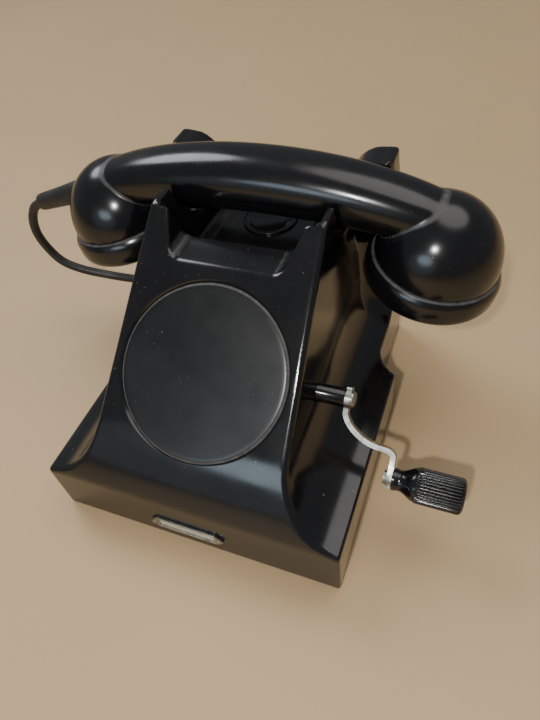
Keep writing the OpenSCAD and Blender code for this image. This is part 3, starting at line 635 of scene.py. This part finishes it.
def surface_nets(field, low, high, cell):
    """Closed quad mesh of the zero surface of field, one point in each grid cell that the surface crosses."""
    axes = [np.arange(a - 1.5 * cell, b + 2.5 * cell, cell) for a, b in zip(low, high)]
    shape = [len(a) for a in axes]
    values = np.empty(shape)
    for i, x in enumerate(axes[0]):
        plane = np.stack(np.meshgrid([x], axes[1], axes[2], indexing="ij"), -1)
        values[i] = field(plane.reshape(-1, 3)).reshape(shape[1:])
    inside = values < 0
    cells = [n - 1 for n in shape]
    total, count = np.zeros(cells + [3]), np.zeros(cells)
    corners = [(a, b, c) for a in (0, 1) for b in (0, 1) for c in (0, 1)]
    for c0 in corners:
        for axis in range(3):
            if c0[axis]:
                continue
            c1 = tuple(v + (i == axis) for i, v in enumerate(c0))
            v0 = values[tuple(slice(a, a + n) for a, n in zip(c0, cells))]
            v1 = values[tuple(slice(a, a + n) for a, n in zip(c1, cells))]
            hit = (v0 < 0) != (v1 < 0)
            t = np.where(hit, v0 / np.where(hit, v0 - v1, 1), 0)
            for i in range(3):
                total[..., i] += np.where(hit, c0[i] + (t if i == axis else 0), 0)
            count += hit
    active = count > 0
    index = -np.ones(cells, int)
    index[active] = np.arange(active.sum())
    where = np.argwhere(active)
    points = (where + total[active] / count[active][:, None]) * cell + [a[0] for a in axes]
    faces = []
    for axis in range(3):
        u, v = (axis + 1) % 3, (axis + 2) % 3
        lo = [slice(None)] * 3
        hi = [slice(None)] * 3
        lo[axis], hi[axis] = slice(0, -1), slice(1, None)
        crossing = np.argwhere(inside[tuple(lo)] != inside[tuple(hi)])
        crossing = crossing[(crossing[:, u] > 0) & (crossing[:, v] > 0)]
        crossing = crossing[(crossing[:, u] < cells[u]) & (crossing[:, v] < cells[v])]
        quad = []
        for du, dv in ((1, 1), (0, 1), (0, 0), (1, 0)):
            c = crossing.copy()
            c[:, u] -= du
            c[:, v] -= dv
            quad.append(index[tuple(c.T)])
        quad = np.stack(quad, 1)
        starts_inside = inside[tuple(crossing.T)]
        quad[~starts_inside] = quad[~starts_inside][:, ::-1]
        faces.append(quad)
    return points, np.concatenate(faces)


def relax(points, faces, amount):
    """Moves each point towards the middle of its neighbours."""
    edges = np.concatenate([faces[:, [i, (i + 1) % 4]] for i in range(4)])
    total, count = np.zeros_like(points), np.zeros(len(points))
    for a, b in ((0, 1), (1, 0)):
        np.add.at(total, edges[:, a], points[edges[:, b]])
        np.add.at(count, edges[:, a], 1)
    return points + amount * (total / np.maximum(count, 1)[:, None] - points)


def implicit_mesh(field, low, high, cell):
    """Points and quads of the zero surface, with the points evened out along it."""
    points, faces = surface_nets(field, low, high, cell)
    points = settle(field, points, cell, 2)
    for _ in range(3):
        points = settle(field, relax(points, faces, 0.5), 0.6 * cell, 2)
    return points, faces


def points_of(mesh):
    """A mesh's points in mm."""
    p = np.empty(3 * len(mesh.vertices), np.float32)
    mesh.vertices.foreach_get("co", p)
    return p.reshape(-1, 3).astype(float) / MM


def implicit_piece(name, field, low, high, cell, body, material, replaces, smooth=50):
    """The zero surface of field as a piece riding on a body."""
    points, faces = implicit_mesh(field, low, high, cell)
    mesh = bpy.data.meshes.new(name)
    mesh.vertices.add(len(points))
    mesh.vertices.foreach_set("co", (points * MM).astype(np.float32).ravel())
    mesh.loops.add(4 * len(faces))
    mesh.loops.foreach_set("vertex_index", faces.astype(np.int32).ravel())
    mesh.polygons.add(len(faces))
    mesh.polygons.foreach_set("loop_start", np.arange(0, 4 * len(faces), 4, dtype=np.int32))
    mesh.update(calc_edges=True)
    mesh.validate()
    add_cavity(mesh, field)
    piece = bpy.data.objects.new(name, mesh)
    bpy.context.scene.collection.objects.link(piece)
    set_smooth(mesh, smooth)
    mesh.materials.append(material)
    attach(piece, body)
    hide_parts(*replaces)
    return piece


def add_cavity(mesh, field, h=1.0):
    """Stores how hollow the surface is at each point, for the dust that gathers there. Below 0 is no dust."""
    p = points_of(mesh)
    bend = -6 * field(p)
    for axis in range(3):
        step = np.zeros(3)
        step[axis] = h
        bend += field(p + step) + field(p - step)
    cavity = np.clip((-bend / h - 0.12) / 0.6, -1, 1)
    layer = mesh.attributes.new("cavity", "FLOAT", "POINT")
    layer.data.foreach_set("value", cavity.astype(np.float32))


def add_ring_dust(piece, place, dust):
    """Gives a turned piece its dust, as a function of the distance from its axis and the height along it."""
    back = place.inverted()
    local = [back @ (v.co / MM) for v in piece.data.vertices]
    layer = piece.data.attributes.new("cavity", "FLOAT", "POINT")
    layer.data.foreach_set("value", [dust(math.hypot(c.x, c.y), c.z) for c in local])


def set_field_normals(mesh, field, h=0.7):
    """Takes the shading normals from the field wherever the mesh follows it, so that edges shade evenly."""
    count = len(mesh.loops)
    corner = np.empty(3 * count, np.float32)
    mesh.corner_normals.foreach_get("vector", corner)
    corner = corner.reshape(-1, 3).astype(float)
    vertex = np.empty(count, np.int32)
    mesh.loops.foreach_get("vertex_index", vertex)
    p = points_of(mesh)
    slope = gradient(field, p, h)
    slope /= np.maximum(np.linalg.norm(slope, axis=1, keepdims=True), 1e-9)
    smooth = slope[vertex]
    follows = (np.abs(field(p)) < 0.03)[vertex] & ((smooth * corner).sum(1) > 0.8)
    mesh.normals_split_custom_set(np.where(follows[:, None], smooth, corner).tolist())


def cut_with(piece, parts):
    """Takes sharp-edged solids, given as (points, faces), out of a piece."""
    cutters = []
    for verts, faces in parts:
        mesh = bpy.data.meshes.new("cutter")
        mesh.from_pydata([tuple(float(c) * MM for c in v) for v in verts], [], faces)
        work = bmesh.new()
        work.from_mesh(mesh)
        bmesh.ops.recalc_face_normals(work, faces=work.faces)
        work.to_mesh(mesh)
        work.free()
        cutter = bpy.data.objects.new("cutter", mesh)
        bpy.context.scene.collection.objects.link(cutter)
        cut = piece.modifiers.new("cut", "BOOLEAN")
        cut.operation = "DIFFERENCE"
        cut.solver = "EXACT"
        cut.object = cutter
        cutters.append(cutter)
    apply_modifiers(piece)
    for cutter in cutters:
        bpy.data.objects.remove(cutter, do_unlink=True)


def make_housing():
    """The bakelite shell, with the dial opening and the round holes cut into it."""
    piece = implicit_piece(
        "housing_shell", housing_field, (-BODY_W / 2, FRONT_Y, 0), (BODY_W / 2, BACK_Y, BODY_H), 1.5,
        "root", MATERIALS["bakelite"], ("housing",))
    opening = [(0, -20), (BLANK_R - 3, -20), (BLANK_R - 3, -3), (BLANK_R + 0.6, -3), (BLANK_R + 0.6, -1.1),
               (BLANK_R + 1.6, 0), (BLANK_R + 1.6, 12), (0, 12)]
    parts = [lathe(opening, PANEL_PLACE, 128)]
    bush = place_at(tuple(CRANK + [36, 0, 0]), (1, 0, 0))
    parts.append(lathe([(0, 0), (4.5, 0), (4.5, 30), (0, 30)], bush, 40))
    for side in (-1, 1):
        hole = place_at((side * PLUNGER_X, SADDLE_Y, BED_Z - 8))
        parts.append(lathe([(0, 0), (PLUNGER_R + 0.15, 0), (PLUNGER_R + 0.15, 16), (0, 16)], hole, 28))
    for x, z in ((GLAND_X, GLAND_Z), (INLET_X, INLET_Z)):
        rear = place_at((x, BACK_Y - 12, z), (0, 1, 0))
        parts.append(lathe([(0, 0), (REAR_HOLE_R, 0), (REAR_HOLE_R, 20), (0, 20)], rear, 40))
    cut_with(piece, parts)
    set_smooth(piece.data, 40)
    set_field_normals(piece.data, housing_field)


def disc_face(r):
    """Height of the blanking disc's face at radius r: flat, with a thin raised edge."""
    return -0.25 - 0.25 * ease((r - (BLANK_R - 1.5)) / 1.2)


def make_disc():
    """The blank disc in the dial opening, with dust round its edge."""
    profile = [(0, -8), (BLANK_R - 3.2, -8), (BLANK_R - 3.2, -3), (BLANK_R + 0.3, -3), (BLANK_R + 0.3, -1.2),
               (BLANK_R - 0.1, -0.75), (BLANK_R - 0.8, -0.4)]
    profile += [(r, disc_face(r)) for r in (38.9, 38.2, 37, 30, 20, 10)] + [(0, -0.25)]
    verts, faces = lathe(profile, PANEL_PLACE, 128)
    disc = new_piece("blanking_disc", verts, faces, "root", MATERIALS["bakelite_worn"], 40,
                     ("dial_blank",))
    add_ring_dust(disc, PANEL_PLACE, lambda r, z: ease((r - 39.0) / 0.8))


def make_well_cap():
    """The round cover in the floor of the well."""
    base = [(0, -5), (11.9, -5), (11.9, 0), (14.3, 0), (14.3, 0.9), (14.0, 1.2), (13.1, 1.2), (12.7, 0.7),
            (11.5, 0.6), (10.8, 0.9), (10.2, 0.6), (0, 0.6)]
    verts, faces = lathe(base, place_at((0, 50.8, WELL_Z)), 72)
    new_piece("well_cover", verts, faces, "root", MATERIALS["bakelite"], 40, ("well_cap",))


# ---------------------------------------------------------------- handset
HANDLE_END = 110.0


def handle_shape(x):
    """Middle height and half sizes of the handle at distance x from its middle."""
    t = np.minimum(np.abs(x) / HANDLE_END, 1.1)
    mid_z = 123.5 - 18 * t ** 2.1 - 1.5 * t ** 6
    half_y = 16.5 - 2.5 * t ** 2 - 4 * t ** 6
    half_z = 14.5 - 4.5 * t ** 2 - 3 * t ** 6
    return mid_z, half_y, half_z


def handset_field(p):
    """The handle fused with its two hollow domes, and the distance from the crease between them."""
    x, y, z = p[..., 0], p[..., 1] - SADDLE_Y, p[..., 2]
    mid_z, half_y, half_z = handle_shape(x)
    q = ((np.abs(y) / half_y) ** 2.3 + (np.abs(z - mid_z) / half_z) ** 2.3) ** (1 / 2.3)
    beam = (q - 1) * half_z
    beam = meet(beam, np.abs(x) - HANDLE_END + 0.25 * (z - 103), 2.5)
    c, s = math.cos(CUP_LEAN), math.sin(CUP_LEAN)
    across, height = np.abs(x) - CUP_X, z - CUP_Z
    w = s * across + c * height
    ring = np.hypot(c * across - s * height, y)
    ball = np.hypot(ring, np.maximum(w - 0.5, 0) / 1.06) - DOME_R
    hollow = np.maximum(ball + 4, -w - 3)
    body = fuse(beam, meet(ball, -w, 0.6), 1.0)
    return np.maximum(body, -hollow), np.abs(beam - ball)


def handset_body(p):
    """The handset's shape alone."""
    return handset_field(p)[0]


def make_handset():
    """The moulded handle with its domes, with dust in the crease."""
    reach = CUP_X + CAP_R + 8
    piece = implicit_piece(
        "handset_grip", handset_body, (-reach, SADDLE_Y - CAP_R, 78), (reach, SADDLE_Y + CAP_R, 140), 1.25,
        "handset", MATERIALS["handset"], ("handset_handle",))
    crease = 1 - handset_field(points_of(piece.data))[1] / 0.9
    piece.data.attributes["cavity"].data.foreach_set("value", np.clip(crease, -4, 1).astype(np.float32))
    set_field_normals(piece.data, handset_body, 0.4)


def cap_profile():
    """Outline of a screw cap: seam lip at the top, rolled rim, dished face below."""
    rim_r = 6.0
    rim = [(CAP_R - 4.5, -0.1), (CAP_R - 2.7, -0.1), (CAP_R - 2.2, -0.4), (CAP_R - 1.8, -0.9),
           (CAP_R - 0.9, -2.2), (CAP_R - 0.2, -3.9)]
    turn = [(CAP_R - rim_r + rim_r * math.cos(a), rim_r - CAP_H - rim_r * math.sin(a))
            for a in np.linspace(0, 1.5, 14)]
    dish = [(CAP_R - 7.5, -CAP_H), (CAP_R - 9, 0.6 - CAP_H), (CAP_R - 10.5, 1.6 - CAP_H),
            (12, 2.6 - CAP_H), (0, 2.8 - CAP_H)]
    inner = [(0, 5 - CAP_H), (CAP_R - 5, 5 - CAP_H)]
    return inner + rim + turn + dish


def make_caps():
    """The two screw caps with their sound holes, and dust along the seam."""
    for side, name, node, rings in ((1, "receiver", "receiver_cap", ((0, 1), (7, 6))),
                                    (-1, "transmitter", "transmitter_cap", ((0, 1), (7, 6), (14, 12)))):
        place = cup_place(side)
        verts, faces = lathe(cap_profile(), place, 96)
        piece = new_piece(f"{name}_screw_cap", verts, faces, "handset", MATERIALS["handset"],
                          35, (node,))
        add_ring_dust(piece, place, lambda r, z: ease((z + 0.9) / 0.5) if r > CAP_R - 3 else 0.0)
        holes = []
        for radius, count in rings:
            for k in range(count):
                a = 2 * math.pi * (k + 0.5) / count
                foot = Vector((radius * math.cos(a), radius * math.sin(a), -CAP_H - 3))
                at = place @ Matrix.Translation(foot)
                holes.append(lathe([(0, 0), (CAP_HOLE_R, 0), (CAP_HOLE_R, 12), (0, 12)], at, 16))
        cut_with(piece, holes)
        set_smooth(piece.data, 35)


def make_sleeve():
    """The tapered rubber boot where the cord leaves the handset."""
    start, end = Vector(SLEEVE_START), Vector(SLEEVE_END)
    long = (end - start).length
    place = place_at(start, end - start)
    profile = [(0, -6), (6.6, -6), (6.4, 0), (5.6, long * 0.4), (5.0, long - 2), (4.7, long - 0.6),
               (4.2, long), (CORD_D / 2 + 0.5, long), (CORD_D / 2, long - 0.8), (0, long - 0.8)]
    verts, faces = lathe(profile, place, 40)
    new_piece("cord_boot", verts, faces, "handset", MATERIALS["rubber"], 40, ("cord_sleeve",))


# ---------------------------------------------------------------- crank
ARM_LINE = [(61.5, -5.5), (61.5, 3), (62, 8), (66, 13), (72, 16.8), (78, 18.4), (83, 18.8),
            (85.6, 20.2), (86.2, 23), (86.2, 35)]
ARM_T = 2.4


def arm_point(x, down, across):
    """A point of the crank arm: x along the shaft, down along the arm, across its width."""
    c, s = math.cos(CRANK_REST), math.sin(CRANK_REST)
    return (x, CRANK[1] - s * down + c * across, CRANK[2] - c * down - s * across)


def arm_half_width(down):
    """Round ends about the shaft and the knob's pin, a narrower waist between."""
    waist = 2.3 + 0.9 * ease((abs(down - CRANK_THROW / 2) - 6) / 9)
    for centre, radius in ((0, 4.8), (CRANK_THROW, 3.9)):
        off = down - centre
        outward = off < 0 if centre == 0 else off > 0
        if abs(off) <= radius:
            disc = math.sqrt(max(radius ** 2 - off ** 2, 0.04))
            waist = disc if outward else max(disc, waist)
    return waist


def make_arm():
    """The bent flat arm of the crank, from the shaft to the knob's pin."""
    line = catmull([(p[0], p[1], 0) for p in ARM_LINE], 8)
    verts, faces = [], []
    for i, p in enumerate(line):
        ahead = line[min(i + 1, len(line) - 1)] - line[max(i - 1, 0)]
        ahead = ahead / np.linalg.norm(ahead)
        normal = np.array([-ahead[1], ahead[0]])
        half_w = arm_half_width(p[1])
        for t, w in ((-1, -1), (1, -1), (1, 1), (-1, 1)):
            q = p[:2] + t * ARM_T / 2 * normal
            verts.append(arm_point(q[0], q[1], w * half_w))
        if i:
            for k in range(4):
                j = (k + 1) % 4
                faces.append((4 * i - 4 + k, 4 * i + k, 4 * i + j, 4 * i - 4 + j))
    faces.append((0, 1, 2, 3))
    last = 4 * (len(line) - 1)
    faces.append((last, last + 3, last + 2, last + 1))
    piece = new_piece("crank_lever", verts, faces, "crank", MATERIALS["nickel"], 40,
                      ("crank_arm",))
    soften(piece, 0.45, 2, 50)


def make_bush():
    """The collar round the crank shaft and the nut at the shaft's end."""
    place = place_at(tuple(CRANK), (1, 0, 0))
    outline = [(3.1, 38), (8, 38), (8, 40), (4.5, 40), (4.5, 59.2), (4.1, 60), (3.1, 60)]
    verts, faces = closed_lathe(outline, place, 48)
    new_piece("crank_collar", verts, faces, "root", MATERIALS["bakelite"], 40, ("crank_bush",))
    nut = [(3, 62.7), (3.9, 62.7), (3.9, 63.4), (3.4, 64.2), (3.0, 64.5)]
    verts, faces = closed_lathe(nut, place, 40)
    new_piece("crank_washer", verts, faces, "crank", MATERIALS["nickel"], 40, ("crank_nut",))


def knob_profile():
    """Outline of the knob's waisted neck, and the height at which its grip starts."""
    grip_start = KNOB_LEN - KNOB_GRIP
    neck = [(5.1, 0), (5.1, 1.6), (4.9, 2.2)]
    neck += [(4.75 + 2.9 * ease((z - 2.4) / (grip_start - 2.4)) ** 1.4, z)
             for z in np.linspace(2.6, grip_start, 9)]
    return neck, grip_start


def flute(r, z, a):
    """Radius of the fluted grip: rounded ridges with narrow grooves between them."""
    grip_start = KNOB_LEN - KNOB_GRIP
    if r < 8 or z < grip_start or z > KNOB_LEN - 0.9:
        return r
    groove = abs(math.cos(KNOB_FLUTES * a / 2)) ** 5
    return r - 0.6 * groove


def make_knob():
    """The fluted knob, along X at the end of the arm."""
    centre = (KNOB_X0, CRANK[1] - CRANK_THROW * math.sin(CRANK_REST),
              CRANK[2] - CRANK_THROW * math.cos(CRANK_REST))
    place = place_at(centre, (1, 0, 0))
    neck, start = knob_profile()
    grip = [(8.0, start), (KNOB_R - 0.35, start + 0.2), (KNOB_R, start + 0.9)]
    grip += [(KNOB_R, z) for z in np.linspace(start + 3, KNOB_LEN - 2.2, 5)]
    end = [(KNOB_R - 0.1, KNOB_LEN - 1.5), (KNOB_R - 0.6, KNOB_LEN - 0.85), (KNOB_R - 1.1, KNOB_LEN - 0.35),
           (KNOB_R - 2.2, KNOB_LEN), (3.6, KNOB_LEN), (3.4, KNOB_LEN - 0.5),
           (3.4, KNOB_LEN - 6), (0, KNOB_LEN - 6)]
    verts, faces = lathe([(0, 0)] + neck + grip + end, place, KNOB_FLUTES * 10, flute)
    new_piece("crank_grip", verts, faces, "knob", MATERIALS["handset"], 40, ("crank_knob",))


# ---------------------------------------------------------------- small fittings
def label_outline(half_w, half_h, point):
    """Six-sided outline with pointed ends, in the plane of the plinth's front."""
    return [(-half_w - point, 0), (-half_w, -half_h), (half_w, -half_h), (half_w + point, 0),
            (half_w, half_h), (-half_w, half_h)]


def make_label():
    """The label holder on the plinth and its blank card."""
    def prism(outline, inner, y0, y1):
        verts, faces, n = [], [], len(outline)
        for y in (y0, y1):
            for loop in (outline, inner):
                verts += [(LABEL_X + px, FRONT_Y - y, LABEL_Z + pz) for px, pz in loop]
        for k in range(n):
            j = (k + 1) % n
            faces.append((k, j, 2 * n + j, 2 * n + k))
            faces.append((n + k, 3 * n + k, 3 * n + j, n + j))
            faces.append((k, n + k, n + j, j))
            faces.append((2 * n + k, 2 * n + j, 3 * n + j, 3 * n + k))
        return verts, faces
    inner = [(-15.0, 0), (-14.9, -3.1), (14.9, -3.1), (15.0, 0), (14.9, 3.1), (-14.9, 3.1)]
    verts, faces = prism(label_outline(15.5, 4.4, 4.4), inner, 0, 1.4)
    piece = new_piece("label_holder", verts, faces, "root", MATERIALS["nickel"], 30,
                      ("label_frame",))
    soften(piece, 0.35, 2, 30)
    verts = [(LABEL_X + x, FRONT_Y - y, LABEL_Z + z) for y in (0.02, 0.45) for x, z in
             ((-15.2, -3.2), (15.2, -3.2), (15.2, 3.2), (-15.2, 3.2))]
    faces = [(0, 1, 2, 3), (4, 7, 6, 5), (0, 4, 5, 1), (1, 5, 6, 2), (2, 6, 7, 3), (3, 7, 4, 0)]
    new_piece("label_paper", verts, faces, "root", MATERIALS["card"], 30, ("label_card",))


def make_label_screws():
    """The two pins that hold the label holder."""
    verts, faces = [], []
    for side in (-1, 1):
        place = place_at((LABEL_X + side * 17.3, FRONT_Y - 1.4, LABEL_Z), (0, -1, 0))
        pin = [(0, -3), (0.8, -3), (0.8, 0), (1.5, 0), (1.45, 0.3), (1.0, 0.58), (0, 0.6)]
        part_verts, part_faces = lathe(pin, place, 24)
        faces += [tuple(i + len(verts) for i in face) for face in part_faces]
        verts += part_verts
    new_piece("label_pins", verts, faces, "root", MATERIALS["nickel"], 40, ("label_screws",))


def make_rear_bushes():
    """The bushes of the handset cord and the line cord in the rear wall."""
    for name, node, x, z, hole, out in (("cord_grommet", "cord_gland", GLAND_X, GLAND_Z, CORD_D / 2, 8.0),
                                        ("line_grommet", "line_inlet", INLET_X, INLET_Z, 3.2, 2.5)):
        place = place_at((x, BACK_Y - BACK_LEAN * z, z), (0, 1, 0))
        outline = [(hole, -6), (7.5, -6), (7.5, -4), (6, -4), (6, 0.5), (7.5, 0.5), (7.2, 1.4),
                   (5.6, 0.4 + out), (5.0, 0.5 + out), (hole, 0.5 + out)]
        verts, faces = closed_lathe(outline, place, 48)
        new_piece(name, verts, faces, "root", MATERIALS["rubber"], 40, (node,))


# ---------------------------------------------------------------- floor and light
def make_floor():
    """A plain pale surface."""
    mesh = bpy.data.meshes.new("floor")
    w = 3.0
    mesh.from_pydata([(-w, -w, 0), (w, -w, 0), (w, w, 0), (-w, w, 0)], [], [(0, 1, 2, 3)])
    floor = bpy.data.objects.new("floor", mesh)
    bpy.context.scene.collection.objects.link(floor)
    material, tree, shader, coords = node_tree("pale_floor")
    fine = noise(tree, coords, 8, 2)
    tree.links.new(mix_color(tree, fine, (0.64, 0.44, 0.23), (0.69, 0.48, 0.26)), shader.inputs["Base Color"])
    shader.inputs["Roughness"].default_value = 0.55
    mesh.materials.append(material)
    floor.location.z = -0.0002


def area_light(name, place, target, size, power, color):
    """An elliptical light of power watts, aimed at target."""
    data = bpy.data.lights.new(name, "AREA")
    data.shape = "ELLIPSE"
    data.size, data.size_y = size
    data.energy = power
    data.color = color
    light = bpy.data.objects.new(name, data)
    bpy.context.scene.collection.objects.link(light)
    light.location = place
    aim = Vector(target) - Vector(place)
    light.rotation_euler = aim.to_track_quat("-Z", "Y").to_euler()


def make_lights():
    """A cool window in front with a dimmer halo, side and top light, and a small one over the viewer."""
    area_light("window", (-0.26, -1.18, 0.60), (0, 0, 0.1), (0.6, 0.36), 2.0, (0.72, 0.87, 1.0))
    area_light("window_halo", (-0.40, -1.40, 0.50), (0, 0, 0.1), (1.4, 1.0), 1.0, (0.72, 0.87, 1.0))
    area_light("side_light", (-0.9, 0.5, 1.1), (0, 0, 0.08), (0.7, 0.7), 8, (0.90, 0.95, 1.0))
    area_light("over_viewer", (0.06, -0.45, 0.55), (0, 0, 0.08), (0.03, 0.03), 2.0, (1, 0.98, 0.95))
    area_light("above", (0.4, 0.5, 1.6), (0, 0, 0), (1.4, 1.4), 9, (1, 0.97, 0.92))
    world = bpy.data.worlds.new("studio")
    bpy.context.scene.world = world
    world.use_nodes = True
    world.node_tree.nodes["Background"].inputs[0].default_value = (0.66, 0.68, 0.72, 1)
    world.node_tree.nodes["Background"].inputs[1].default_value = 0.24


def dress_nodes():
    """Gives every carried-over CAD node its slot's material."""
    slots = {part["node"]: part["material_slot"] for part in frame["record"]["subparts"]}
    for name, node in frame["nodes"].items():
        node.data.materials.clear()
        node.data.materials.append(MATERIALS[slots[name]])


make_housing()
make_disc()
make_well_cap()
make_handset()
make_caps()
make_sleeve()
make_arm()
make_bush()
make_knob()
make_label()
make_label_screws()
make_rear_bushes()
dress_nodes()
make_floor()
make_lights()
